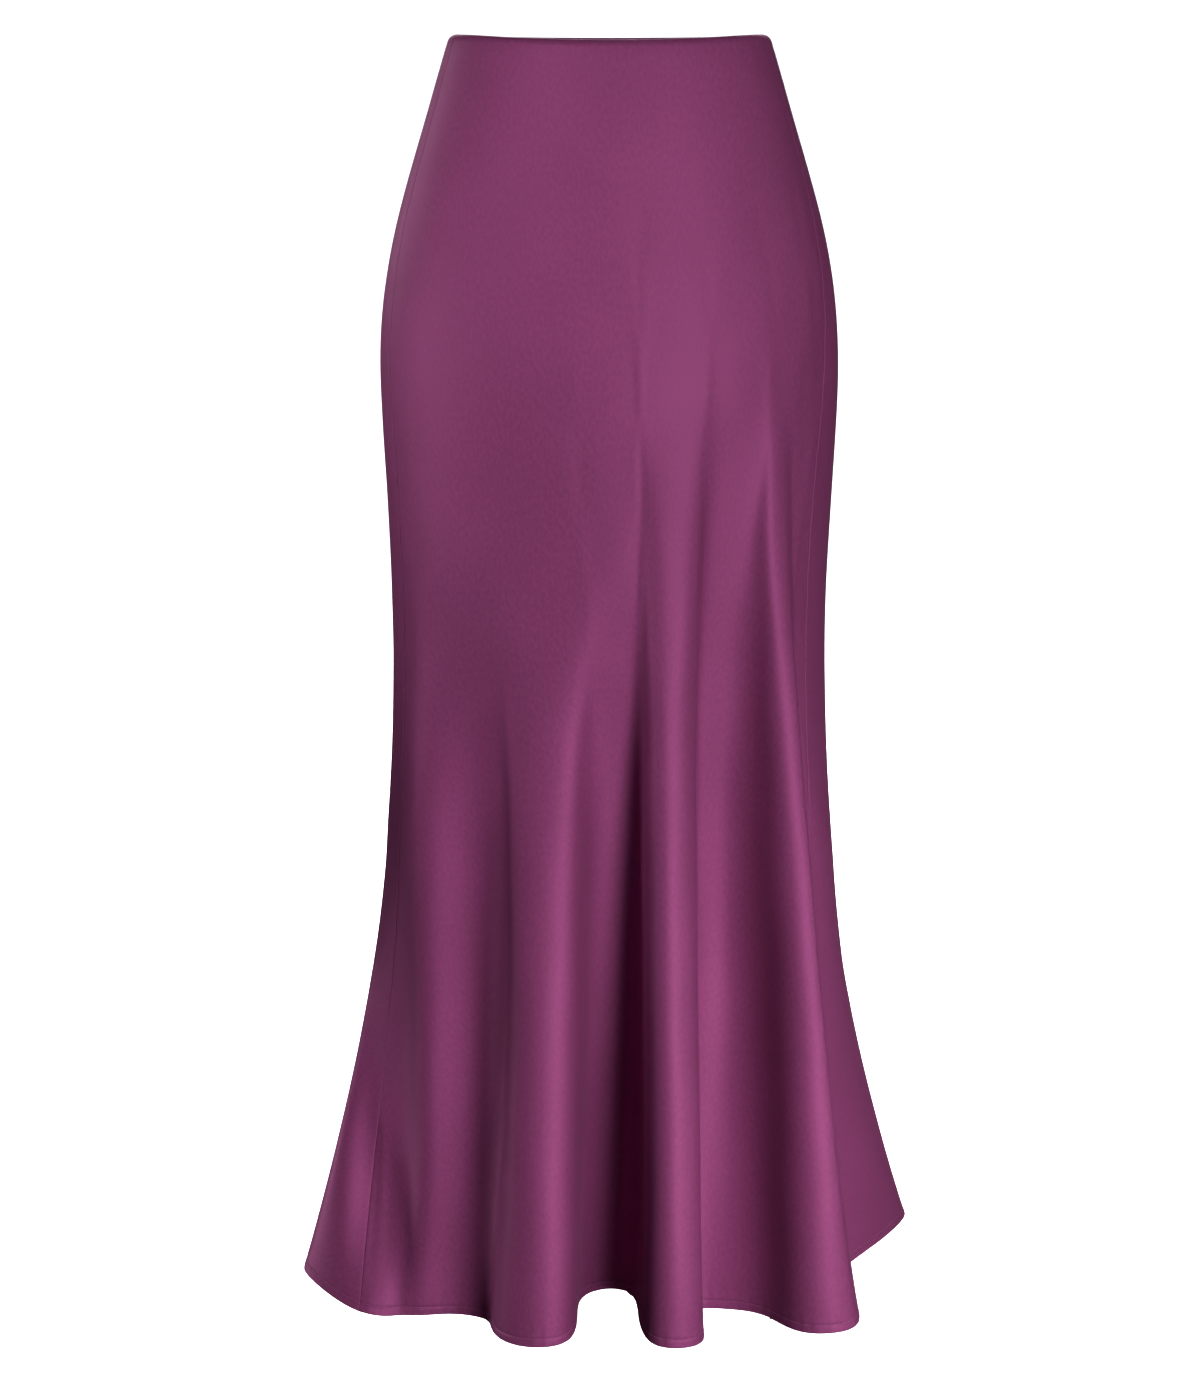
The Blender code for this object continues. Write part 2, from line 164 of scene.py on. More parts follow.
# One row for each crest, trough and side seam of the hem, from the left side round the front. x and y are
# its place at the hem and facing the way that the cloth faces there. before and after say how far its
# rounding reaches. waist and thigh are its places on the smooth body: all angles are in degrees from the
# front, turning to the right. start is the height where it begins, early how much sooner than evenly it
# opens, and lift how far the hem is raised there.
Flute = namedtuple("Flute", "name x y facing before after waist thigh start early lift")
FLUTES = (
    Flute("left_tip", -0.242, -0.054, -75, 0.020, 0.010, -96, -80, -0.58, 0.1, 0.024),
    Flute("left_seam", -0.192, -0.098, -30, 0.020, 0.035, -72, -70, -0.44, 0.1, -0.016),
    Flute("trough_ab", -0.093, -0.100, -40, 0.065, 0.003, -42, -32, -0.30, 0.8, -0.008),
    Flute("crest_b", -0.050, -0.152, 0, 0.045, 0.048, -24, -18, -0.42, 0.5, -0.006),
    Flute("trough_bc", -0.006, -0.062, 10, 0.038, 0.044, -2, 2, -0.36, 0.4, -0.002),
    Flute("crest_c", 0.048, -0.170, 5, 0.055, 0.055, 16, 14, -0.22, 0.9, 0.004),
    Flute("trough_cd", 0.074, -0.090, -5, 0.035, 0.060, 33, 30, -0.20, 0.7, -0.007),
    Flute("crest_d", 0.166, -0.148, 5, 0.045, 0.050, 56, 48, -0.20, 0.9, 0.005),
    Flute("right_seam", 0.184, -0.040, 70, 0.030, 0.016, 74, 62, -0.56, 0.0, 0.004),
    Flute("right_tip", 0.247, 0.066, 80, 0.036, 0.026, 104, 98, -0.64, -0.2, 0.010),
    Flute("trough_e", 0.178, 0.112, 158, 0.022, 0.024, 124, 122, -0.50, 0.2, 0.002),
    Flute("crest_f", 0.118, 0.186, 172, 0.034, 0.034, 142, 140, -0.36, 0.6, 0.000),
    Flute("trough_f", 0.064, 0.116, 180, 0.028, 0.030, 159, 160, -0.34, 0.6, 0.003),
    Flute("crest_g", 0.012, 0.190, 181, 0.032, 0.036, 177, 178, -0.30, 0.6, 0.000),
    Flute("trough_g", -0.046, 0.122, 180, 0.032, 0.026, 196, 197, -0.32, 0.6, 0.002),
    Flute("crest_h", -0.099, 0.187, 188, 0.032, 0.036, 213, 214, -0.38, 0.6, 0.000),
    Flute("trough_h", -0.152, 0.114, 200, 0.026, 0.024, 229, 231, -0.42, 0.3, 0.003),
    Flute("crest_i", -0.205, 0.118, 228, 0.034, 0.030, 246, 249, -0.50, 0.0, 0.000),
    Flute("trough_i", -0.202, 0.038, 268, 0.024, 0.024, 258, 260, -0.56, 0.0, 0.008),
)

# Soft ridges and grooves down the front panel, which the hem's own shape doesn't give: from x_top at top to
# x_foot at foot, highest at peak.
Ridge = namedtuple("Ridge", "name x_top top x_foot foot peak width height")
RIDGES = (
    Ridge("ridge_a", -0.134, -0.40, -0.148, -1.04, -0.54, 0.024, 0.011),
    Ridge("groove_left", -0.166, -0.50, -0.184, -1.00, -0.83, 0.025, -0.034),
    Ridge("ridge_ab", -0.084, -0.38, -0.090, -1.00, -0.66, 0.010, 0.008),
    Ridge("groove_cd", 0.084, -0.30, 0.096, -1.00, -0.66, 0.030, -0.012),
    Ridge("groove_c", 0.064, -0.29, 0.064, -0.68, -0.46, 0.007, -0.0022),
)

# Small soft creases and hollows that lie on the folds, front and back, in the same terms. A negative height
# is a trough, and a foot under the hem's level means that it runs off the hem.
FRONT_CREASES = (
    Ridge("hollow_left", -0.1560, -0.40, -0.1640, -1.20, -0.85, 0.0140, -0.0070),
    Ridge("hollow_ab", -0.0880, -0.34, -0.0900, -1.10, -0.62, 0.0220, -0.0070),
    Ridge("hollow_bc", 0.0160, -0.64, 0.0120, -1.20, -0.90, 0.0220, -0.0060),
    Ridge("hollow_cd", 0.1100, -0.50, 0.1180, -1.20, -0.82, 0.0200, -0.0040),
    Ridge("wing_edge", -0.1720, -0.72, -0.1790, -0.93, -0.84, 0.0035, 0.0010),
)
BACK_CREASES = (
    Ridge("back_rim_f", 0.1000, -0.62, 0.1080, -0.99, -0.86, 0.0050, 0.0015),
    Ridge("back_rim_g", -0.0080, -0.60, -0.0060, -0.99, -0.85, 0.0050, 0.0016),
    Ridge("back_rim_h", -0.1150, -0.66, -0.1200, -0.99, -0.88, 0.0050, 0.0014),
    Ridge("back_hollow", 0.0380, -0.44, 0.0450, -0.80, -0.60, 0.0090, -0.0014),
)

# Slow waves of the cloth's surface: so many round the ring, so long down it, and where each begins
Swell = namedtuple("Swell", "height round down turn")
SWELLS = (
    Swell(0.00030, 9, 0.31, 0.4),
    Swell(0.00022, 17, 0.19, 2.1),
    Swell(0.00014, 31, 0.12, 4.0),
)

# The satin is cut on the bias. Its colour changes by these shares with the mottling, with larger clouds and
# from float to float, and its roughness changes with the mottling.
BIAS = np.pi / 4
MOTTLE_SHADE = 0.10
CLOUD_SHADE = 0.05
FLOAT_SHADE = 0.04
GLOSS_CHANGE = 0.04

# Waves to a metre of the clouds, and how much longer than wide the mottling and the floats are
CLOUD_SCALE = 9
MOTTLE_STRETCH = 0.6
FLOAT_STRETCH = 7

# Depth of the relief of the mottling, the floats and the weave, and how strongly the first two show
MOTTLE_RELIEF = 0.00012
FLOAT_RELIEF = 0.00005
WEAVE_RELIEF = 0.00003
RELIEF_STRENGTH = 0.35

# Sheen of the satin's two sides, and how strongly the weave shows on each
FACE_SHEEN = 0.15
FACE_WEAVE = 0.30
REVERSE_SHEEN = 0.10
REVERSE_WEAVE = 0.60

# What else the satin's shader and its weave are set to
SATIN_SHADER = {
    "Metallic": 0.25,
    "Specular IOR Level": 0.25,
    "Specular Tint": (1.0, 0.45, 0.82, 1),
    "Sheen Roughness": 0.35,
    "Sheen Tint": (0.85, 0.35, 0.65, 1),
}
WEAVE_PATTERN = {
    "Scale": 1.0,
    "Mortar Smooth": 1.0,
    "Color1": (1, 1, 1, 1),
    "Color2": (0.8, 0.8, 0.8, 1),
    "Mortar": (0, 0, 0, 1),
}

# The groove between two floats, as a share of their width, and how far one row is shifted from the next, as a
# share of their length
WEAVE_GROOVE = 0.2
WEAVE_SHIFT = 0.4

# The thread: waves to a metre of its shade and of its twist, and how much each changes it
THREAD_SHADE_SCALE = 260
TWIST_SCALE = 5200
THREAD_SHADE = 0.15
THREAD_ROUGHNESS = 0.50
THREAD_GLOSS_CHANGE = 0.08
THREAD_RELIEF = 0.00004
THREAD_RELIEF_STRENGTH = 0.5
THREAD_SHEEN = 0.2

# The floor: waves to a metre of its unevenness, and its shade, change of shade, roughness and gloss
FLOOR_SCALE = 3
FLOOR_SHADE = 0.9925
FLOOR_SHADE_CHANGE = 0.0075
FLOOR_SHADER = {"Roughness": 0.9, "Specular IOR Level": 0.1}

# Noise mostly stays between these values
NOISE_LOW = 0.3
NOISE_HIGH = 0.7

# The stage: the rings of its flat floor, its radius, its corner's radius, the height of its wall, and the
# steps of its corner and of its ring
STAGE_RINGS = (1.5, 3.0)
STAGE_RADIUS = 6.0
STAGE_CORNER = 1.5
STAGE_WALL = 5.0
STAGE_STEPS = 12
STAGE_SIDES = 96

# Strength of the even light from all round
WORLD_STRENGTH = 0.02

# The lamps of the studio: the level on the middle line that each looks at, its angles and distance as seen
# from there (azimuth from the front, turning to the right), its size, the angle of its beam and its watts
Lamp = namedtuple("Lamp", "name level azimuth elevation distance size spread power")
LAMPS = (
    Lamp("front_soft", -0.45, 26, 5, 2.4, 1.0, 180, 34.0),
    Lamp("front_low", -0.80, 25, 0, 1.5, 0.4, 50, 0.75),
    Lamp("right_low", -0.85, 70, 0, 1.5, 0.3, 40, 0.2),
    Lamp("right_high", -0.05, 75, 5, 1.5, 0.4, 40, 0.12),
    Lamp("left_low", -0.95, -100, 5, 1.5, 0.3, 25, 0.25),
    Lamp("left_high", 0.05, -30, 15, 1.5, 0.4, 40, 0.45),
    Lamp("left_side", -0.30, -75, 5, 1.5, 0.4, 40, 0.45),
    Lamp("left_rim", 0.02, -125, 5, 1.5, 0.4, 40, 0.25),
    Lamp("back_soft", -0.45, 180, 20, 2.6, 1.4, 180, 40.0),
)
FLOOR_LAMP = Lamp("floor_lamp", -0.45, 0, 90, 4.0, 5.0, 180, 1400.0)


# ---------------------------------------------------------------- what a user would change


class SkirtCut(bpy.types.PropertyGroup):
    """Sizes of the cut and of its edges."""

    top_level: bpy.props.FloatProperty(
        name="Top level", description="Height of the top edge at the back", default=0.0165, unit="LENGTH"
    )
    top_dip: bpy.props.FloatProperty(
        name="Top dip", description="How far the top edge dips in front", default=0.006, unit="LENGTH"
    )
    edge_roll: bpy.props.FloatProperty(
        name="Top roll", description="Radius of the rolled top edge", default=0.005, unit="LENGTH"
    )
    top_fold: bpy.props.FloatProperty(
        name="Top fold", description="Radius of the fold inside the top roll", default=0.0014, unit="LENGTH"
    )
    hem_level: bpy.props.FloatProperty(
        name="Hem level", description="Height of the hem", default=-0.935, unit="LENGTH"
    )
    hem_fold: bpy.props.FloatProperty(
        name="Hem fold", description="Radius of the fold along the hem", default=0.0008, unit="LENGTH"
    )
    hem_turn: bpy.props.FloatProperty(
        name="Turned hem", description="How far the hem is turned up inside", default=0.008, unit="LENGTH"
    )
    waist_turn: bpy.props.FloatProperty(
        name="Turned waist", description="How far the waist is turned down inside", default=0.030,
        unit="LENGTH",
    )
    seam_round: bpy.props.FloatProperty(
        name="Seam rounding", description="Radius of the pressed side seams", default=0.0006, unit="LENGTH"
    )
    wall: bpy.props.FloatProperty(
        name="Cloth thickness", description="Thickness of one layer", default=0.0005, unit="LENGTH"
    )


class SkirtSurface(bpy.types.PropertyGroup):
    """How finely the cloth is divided, and how lively its surface is."""

    columns: bpy.props.IntProperty(
        name="Columns", description="Columns of each panel from seam to seam", default=330, min=60
    )
    rows: bpy.props.IntProperty(
        name="Rows", description="Rows between the top roll and the hem band", default=104, min=30
    )
    crease: bpy.props.FloatProperty(
        name="Creases", description="How much of the small creases' height is used", default=1.0,
        subtype="FACTOR",
    )
    swell: bpy.props.FloatProperty(
        name="Swell", description="How much of the slow waves' height is used", default=1.0, subtype="FACTOR"
    )
    pucker: bpy.props.FloatProperty(
        name="Pucker", description="Height of the ripples that the hem stitching pulls", default=0.00014,
        unit="LENGTH",
    )


class SkirtStitching(bpy.types.PropertyGroup):
    """The line of machine stitches round the hem."""

    height: bpy.props.FloatProperty(
        name="Height", description="Height of the stitches over the hem", default=0.0068, unit="LENGTH"
    )
    length: bpy.props.FloatProperty(
        name="Length", description="Length of one stitch", default=0.0024, unit="LENGTH"
    )
    gap: bpy.props.FloatProperty(
        name="Gap", description="Gap between two stitches", default=0.0004, unit="LENGTH"
    )
    radius: bpy.props.FloatProperty(
        name="Radius", description="Radius of the thread", default=0.00016, unit="LENGTH"
    )


class SkirtFinish(bpy.types.PropertyGroup):
    """Colours and gloss of the satin and of the thread."""

    satin: bpy.props.FloatVectorProperty(
        name="Satin", description="Colour of the right side", default=(0.235, 0.047, 0.145), subtype="COLOR",
        size=3, min=0.0, max=1.0,
    )
    wrong_side: bpy.props.FloatVectorProperty(
        name="Wrong side", description="Colour of the wrong side", default=(0.150, 0.032, 0.096),
        subtype="COLOR", size=3, min=0.0, max=1.0,
    )
    thread: bpy.props.FloatVectorProperty(
        name="Thread", description="Colour of the stitching", default=(0.270, 0.070, 0.175), subtype="COLOR",
        size=3, min=0.0, max=1.0,
    )
    satin_roughness: bpy.props.FloatProperty(
        name="Satin roughness", description="Roughness of the right side", default=0.56, subtype="FACTOR"
    )
    wrong_roughness: bpy.props.FloatProperty(
        name="Wrong side roughness", description="Roughness of the wrong side", default=0.66, subtype="FACTOR"
    )
    float_length: bpy.props.FloatProperty(
        name="Float length", description="Length of one float of the satin weave", default=0.0009,
        unit="LENGTH",
    )
    float_width: bpy.props.FloatProperty(
        name="Float width", description="Width of one float of the satin weave", default=0.00018,
        unit="LENGTH",
    )
    mottle: bpy.props.FloatProperty(
        name="Mottle size", description="Size of the faint mottling of the satin", default=0.0024,
        unit="LENGTH",
    )


class SkirtStudio(bpy.types.PropertyGroup):
    """The floor, the light and the camera."""

    floor_level: bpy.props.FloatProperty(
        name="Floor level", description="Height of the floor under the worn skirt", default=-1.10,
        unit="LENGTH",
    )
    floor_colour: bpy.props.FloatVectorProperty(
        name="Floor colour", description="Colour of the floor and walls", default=(0.88, 0.88, 0.88),
        subtype="COLOR", size=3, min=0.0, max=1.0,
    )
    light: bpy.props.FloatProperty(
        name="Light", description="Strength of all lamps together", default=1.0, min=0.0
    )
    camera_place: bpy.props.FloatVectorProperty(
        name="Camera place", description="Where the camera stands", default=(-0.006954623, -2.0, -0.045),
        subtype="TRANSLATION", size=3,
    )
    camera_tilt: bpy.props.FloatProperty(
        name="Camera tilt", description="How far the camera looks down", default=np.radians(12.0778),
        subtype="ANGLE",
    )
    camera_lens: bpy.props.FloatProperty(
        name="Lens", description="Focal length on a 36 mm sensor", default=69.44, unit="CAMERA"
    )


class SkirtSettings(bpy.types.PropertyGroup):
    """All settings of the skirt and its studio."""

    cut: bpy.props.PointerProperty(name="Cut", description="Sizes of the cut", type=SkirtCut)
    surface: bpy.props.PointerProperty(name="Surface", description="The cloth's surface", type=SkirtSurface)
    stitching: bpy.props.PointerProperty(name="Stitching", description="Hem stitches", type=SkirtStitching)
    finish: bpy.props.PointerProperty(name="Finish", description="Colours and gloss", type=SkirtFinish)
    studio: bpy.props.PointerProperty(name="Studio", description="Floor, light, camera", type=SkirtStudio)


# ---------------------------------------------------------------- the shape of the cloth


def column_of(rows, name):
    """One column of a table, as an array."""
    return np.array([getattr(row, name) for row in rows], float)


def unit(vectors):
    """The vectors at length 1."""
    return vectors / np.linalg.norm(vectors, axis=-1, keepdims=True)


def eased(value):
    """0 up to 0, 1 from 1 on, and an even S between."""
    value = np.clip(value, 0, 1)
    return value * value * (3 - 2 * value)


def bell(distance, width):
    """1 at no distance, and falling off as exp(-(distance / width) squared)."""
    return np.exp(-((distance / width) ** 2))


def natural_curve(knots, values, at):
    """The smoothest curve through the values: a cubic between each two knots, with no bend at the ends.

    At each knot, step before x bend before + 2 x both steps x bend + step after x bend after is six times
    the change of slope.
    """
    step = np.diff(knots)
    slope = np.diff(values) / step
    count = len(knots)
    system = np.eye(count)
    right = np.zeros(count)
    for i in range(1, count - 1):
        system[i, i - 1 : i + 2] = step[i - 1], 2 * (step[i - 1] + step[i]), step[i]
        right[i] = 6 * (slope[i] - slope[i - 1])
    bend = np.linalg.solve(system, right)
    at = np.clip(at, knots[0], knots[-1])
    left = np.clip(np.searchsorted(knots, at, side="right") - 1, 0, count - 2)
    run = at - knots[left]
    h = step[left]
    linear = slope[left] - h * (2 * bend[left] + bend[left + 1]) / 6
    cubic = (bend[left + 1] - bend[left]) / (6 * h)
    return values[left] + run * (linear + run * (bend[left] / 2 + run * cubic))


def body_sizes(level):
    """Half width, front depth and back depth of the smooth body at each level."""
    rows = sorted(SECTIONS, key=lambda row: row.level)
    knots = column_of(rows, "level")
    sizes = ("half_width", "front", "back")
    return tuple(natural_curve(knots, column_of(rows, size), level) for size in sizes)


def body_ring(angle, level):
    """The oval at this level: x is half width times sine, and y is front or back depth times minus cosine."""
    half_width, front, back = body_sizes(level)
    forward = np.cos(angle)
    depth = np.where(forward > 0, front, back)
    return half_width * np.sin(angle), -depth * forward


def blended(values, share):
    """A ring of values smoothed by a bell curve of this share of the ring."""
    waves = np.fft.rfft(values)
    order = np.arange(len(waves))
    return np.fft.irfft(waves * np.exp(-2 * (np.pi * share * order) ** 2), len(values))


def hem_curve():
    """x and y of the hem at every sample: a Bezier curve from each flute to the next, rounded off."""
    x = column_of(FLUTES, "x")
    y = column_of(FLUTES, "y")
    facing = np.radians(column_of(FLUTES, "facing"))
    before = column_of(FLUTES, "before")
    after = column_of(FLUTES, "after")
    t = np.arange(CURVE_SAMPLES)[:, None] / CURVE_SAMPLES
    points = []
    for place, along in ((x, np.cos(facing)), (y, np.sin(facing))):
        leave = place + after * along
        arrive = np.roll(place - before * along, -1)
        end = np.roll(place, -1)
        curve = (1 - t) ** 3 * place + 3 * (1 - t) ** 2 * t * leave + 3 * (1 - t) * t**2 * arrive + t**3 * end
        points.append(curve.T.ravel())
    return points


def hem_angles(hem_level):
    """Where each flute's place at the hem lies round the smooth body, as an angle from the front."""
    half_width, front, back = body_sizes(np.array([hem_level]))
    x = column_of(FLUTES, "x") / half_width
    y = column_of(FLUTES, "y")
    return np.unwrap(np.arctan2(x, -y / np.where(y < 0, front, back)))


def way_round(x, y, angle):
    """How far each sample of the hem has come from its flute (0) to the next (1), as seen from the body.

    A short stretch counts as its length along the ring, or FLANK_SHARE of its length where it runs in or out.
    """
    ring_x, ring_y = unit(np.stack([np.cos(angle), np.sin(angle)], axis=-1)).T
    step_x = np.roll(x, -1) - x
    step_y = np.roll(y, -1) - y
    along = np.maximum(step_x * ring_x + step_y * ring_y, FLANK_SHARE * np.hypot(step_x, step_y))
    along = along.reshape(len(FLUTES), CURVE_SAMPLES)
    return ((np.cumsum(along, axis=1) - along) / along.sum(axis=1, keepdims=True)).ravel()


def angles_round(x, y, hem_level):
    """The waist, thigh and hem angles of the hem's samples, between those of the flutes by way_round."""
    corners = {name: np.radians(column_of(FLUTES, name)) for name in ("waist", "thigh")}
    corners["hem"] = hem_angles(hem_level)
    corners = {name: np.append(angle, angle[0] + 2 * np.pi) for name, angle in corners.items()}
    flute = np.arange(len(FLUTES) + 1)
    place = np.arange(len(x)) / CURVE_SAMPLES
    done = np.floor(place) + way_round(x, y, np.interp(place, flute, corners["hem"]))
    done = np.append(done, len(FLUTES))
    return {name: np.interp(done, flute, angle) for name, angle in corners.items()}


def ring_table(cut):
    """What the cloth needs to know round the hem, at RING_SAMPLES places evenly spaced along it."""
    x, y = hem_curve()
    length = np.hypot(np.roll(x, -1) - x, np.roll(y, -1) - y)
    mark = np.concatenate([[0], np.cumsum(length)])
    mark /= mark[-1]
    share = np.arange(RING_SAMPLES) / RING_SAMPLES
    table = {"share": share}
    for name, value in (("x", x), ("y", y)):
        table[name] = blended(np.interp(share, mark, np.append(value, value[0])), SHAPE_BLEND)
    for name, angle in angles_round(x, y, cut.hem_level).items():
        table[name] = blended(np.interp(share, mark, angle - 2 * np.pi * mark), ANGLE_BLEND)
    flute_share = mark[:-1][::CURVE_SAMPLES]
    for name in ("start", "early", "lift"):
        value = column_of(FLUTES, name)
        whole = np.interp(share, np.append(flute_share, 1), np.append(value, value[0]))
        table[name] = blended(whole, VALUE_BLEND)
    seams = {row.name: at for row, at in zip(FLUTES, flute_share) if row.name.endswith("_seam")}
    table["front"] = (seams["left_seam"], seams["right_seam"])
    table["back"] = (seams["right_seam"], seams["left_seam"] + 1)
    return table


def around(table, name, share):
    """A value of the ring at these shares of the hem, between its samples."""
    return np.interp(share % 1, np.append(table["share"], 1), np.append(table[name], table[name][0]))


def crease_height(rows, x, level):
    """How far a set of ridges and grooves stands out: a bell across and a long swell down."""
    height = np.zeros_like(x)
    for row in rows:
        down = (level - row.top) / (row.foot - row.top)
        centre = row.x_top + (row.x_foot - row.x_top) * down
        above = eased((row.top - level) / (row.top - row.peak))
        below = eased((level - row.foot) / (row.peak - row.foot))
        height += row.height * above * below * bell(x - centre, row.width)
    return height


def top_level(cut, angle):
    """The top edge dips a little at the middle of the front."""
    return cut.top_level - cut.top_dip * np.clip(np.cos(angle), 0, 1) ** 2


def angle_at(cut, level, waist, thigh, hem):
    """A place's angle round the body: the waist's, easing to the thigh's, and from there to the hem's.

    Below the thigh it is the angle of (1 - t) x thigh direction x knee width + t x hem direction x hem width,
    where t is the share of the flare's widening that has been reached, so that a flute hangs straight down.
    """
    down = eased((WAIST_ANGLE_LEVEL - level) / (WAIST_ANGLE_LEVEL - THIGH_ANGLE_LEVEL))
    width, _, _ = body_sizes(level)
    narrow, wide = body_sizes(np.array([KNEE_LEVEL, cut.hem_level]))[0]
    flare = np.where(level < KNEE_LEVEL, np.clip((width - narrow) / (wide - narrow), 0, 1), 0)
    sideways = (1 - flare) * narrow * np.sin(thigh) + flare * wide * np.sin(hem)
    forward = (1 - flare) * narrow * np.cos(thigh) + flare * wide * np.cos(hem)
    below = thigh + np.angle((forward + 1j * sideways) * np.exp(-1j * thigh))
    return waist + (below - waist) * down


def cloth(cut, table, share, drop, rolled=True):
    """Points of the cloth's outer face, their angles and levels, for shares round and drops down the cloth.

    Each is body ring + opening x (hem place - hem body ring), moved forward by the ridges and in by the
    rolled top edge. The run is (start - level) / (start - hem level), eased in as run squared x
    (1 + SOFT_START) / (run + SOFT_START), and the opening is run x (1 + early x (1 - run)).
    """
    turn = 2 * np.pi * share
    waist, thigh, hem = (around(table, name, share) + turn for name in ("waist", "thigh", "hem"))
    start, early, lift = (around(table, name, share) for name in ("start", "early", "lift"))
    top = top_level(cut, waist)
    level = top + (cut.hem_level + lift - top) * drop
    angle = angle_at(cut, level, waist, thigh, hem)
    x, y = body_ring(angle, level)
    hem_x, hem_y = body_ring(hem, np.full_like(level, cut.hem_level))
    run = np.clip((start - level) / (start - cut.hem_level - lift), 0, 1)
    run = run**2 * (1 + SOFT_START) / (run + SOFT_START)
    opening = run * (1 + early * (1 - run))
    x = x + opening * (around(table, "x", share) - hem_x)
    y = y + opening * (around(table, "y", share) - hem_y)
    y = y - crease_height(RIDGES, x, level) * eased(np.cos(angle) / RIDGE_FADE)
    if rolled:
        roll = np.clip(1 - (top - level) / cut.edge_roll, 0, 1)
        back = cut.edge_roll * (1 - np.sqrt(1 - roll**2))
        x = x - back * np.sin(angle)
        y = y + back * np.cos(angle)
    return np.stack([x, y, level], axis=-1), angle


# ---------------------------------------------------------------- the cloth's fine relief


def swell_height(share, level):
    """Slow waves: each is height x sin(round x turn) x sin(2 pi level / down), fading out at the waist."""
    height = np.zeros(share.shape)
    for swell in SWELLS:
        round_wave = np.sin(2 * np.pi * swell.round * share + swell.turn)
        down_wave = np.sin(2 * np.pi * level / swell.down + swell.turn)
        height += swell.height * round_wave * down_wave
    return height * eased((SWELL_TOP - level) / SWELL_FADE)


def band_height(settings, share, over_hem):
    """The turned hem's slight bulge, the groove that its stitches pull in, and their ripples."""
    stitch = settings.stitching.height
    bulge = BAND_BULGE * eased(over_hem / BAND_EDGE) * eased((stitch - over_hem) / BAND_EDGE)
    groove = -GROOVE_DEPTH * bell(over_hem - stitch, GROOVE_WIDTH)
    turn = 2 * np.pi * share
    wander = PUCKER_WANDER * np.sin(PUCKER_WANDER_ROUND * turn)
    ripple = np.sin(PUCKER_ROUND * turn + wander) + PUCKER_FINE_SHARE * np.sin(PUCKER_FINE * turn)
    return bulge + groove + settings.surface.pucker * ripple * bell(over_hem - stitch, PUCKER_REACH)


def seam_height(table, share, points):
    """Small ripples down each side seam, a sine of the level that wanders, dying out away from the seam."""
    level = points[..., 2]
    wave = np.sin(2 * np.pi * level / SEAM_PUCKER_LENGTH + SEAM_WANDER * np.sin(level * SEAM_WANDER_RATE))
    stretch = np.where(level < KNEE_LEVEL, FLARE_STRETCH, 1.0)
    ring_length = 2 * np.pi * np.hypot(points[..., 0], points[..., 1]) * stretch
    height = np.zeros(share.shape)
    for seam in table["front"]:
        away = (share - seam + 0.5) % 1 - 0.5
        height += SEAM_PUCKER * wave * bell(away * ring_length, SEAM_PUCKER_REACH)
    return height


def directions(points):
    """Outward directions of a grid of points, from its neighbours down and across."""
    across = np.gradient(points, axis=1)
    down = np.gradient(points, axis=0)
    return unit(np.cross(down, across))


def skin(settings, table, share, drop, rolled=True):
    """Points and outward directions of the finished outer face, for a list of shares and a list of drops.

    It is the cloth, moved out along its own direction by creases, swell, hem band and seam ripples.
    """
    cut = settings.cut
    share, drop = np.meshgrid(share, drop)
    points, angle = cloth(cut, table, share, drop, rolled)
    forward = np.cos(angle)
    over_hem = (1 - drop) * (cut.top_level - cut.hem_level)
    creases = (
        crease_height(FRONT_CREASES, points[..., 0], points[..., 2]) * eased(forward / RIDGE_FADE)
        + crease_height(BACK_CREASES, points[..., 0], points[..., 2]) * eased(-forward / RIDGE_FADE)
    )
    height = (
        settings.surface.crease * creases
        + settings.surface.swell * swell_height(share, points[..., 2])
        + band_height(settings, share, over_hem)
        + seam_height(table, share, points)
    )
    points = points + directions(points) * height[..., None]
    return points, directions(points)


# ---------------------------------------------------------------- grids of the pieces


def column_shares(table, start, end, count):
    """Shares from one seam to the next, closer together where the hem bends."""
    fine = np.linspace(start, end, RING_SAMPLES)
    x = around(table, "x", fine)
    y = around(table, "y", fine)
    step = np.hypot(np.diff(x), np.diff(y))
    turn = np.abs(np.diff(np.unwrap(np.arctan2(np.diff(y), np.diff(x)))))
    effort = step + BEND_WEIGHT * np.append(turn, 0)
    mark = np.concatenate([[0], np.cumsum(effort)])
    return np.interp(np.linspace(0, mark[-1], count + 1), mark, fine)


def panel_drops(settings):
    """Drops of a panel's rows: round the top roll, evenly down the skirt, and closely down the hem band."""
    cut = settings.cut
    height = cut.top_level - cut.hem_level
    roll = cut.edge_roll * (1 - np.cos(np.linspace(0, np.pi / 2, ROLL_ROWS + 1)))
    band = height - np.array(BAND_STEPS)[::-1]
    body = np.linspace(cut.edge_roll, band[0], settings.surface.rows + 1)
    hem = np.append(band, height - cut.hem_fold)
    return np.unique(np.concatenate([roll[:-1], body[:-1], hem])) / height


def pressed_edge(points, normal, beyond, radius):
    """Columns of a seam's rounded edge, from its depth up to the panel's face.

    Each is seam point + across x radius x (1 - sin) - outward x radius x (1 - cos), over a quarter turn. One
    more column, deeper and past the seam, laps under the other panel.
    """
    across = unit(beyond - points)
    turn = np.linspace(np.pi / 2, 0, SEAM_ROUND_STEPS + 1)
    aside = np.append(-SEAM_OVERLAP, radius * (1 - np.sin(turn)))
    depth = np.append(radius + SEAM_DEEP, radius * (1 - np.cos(turn)))
    return points[:, None] + across[:, None] * aside[:, None] - normal[:, None] * depth[:, None]


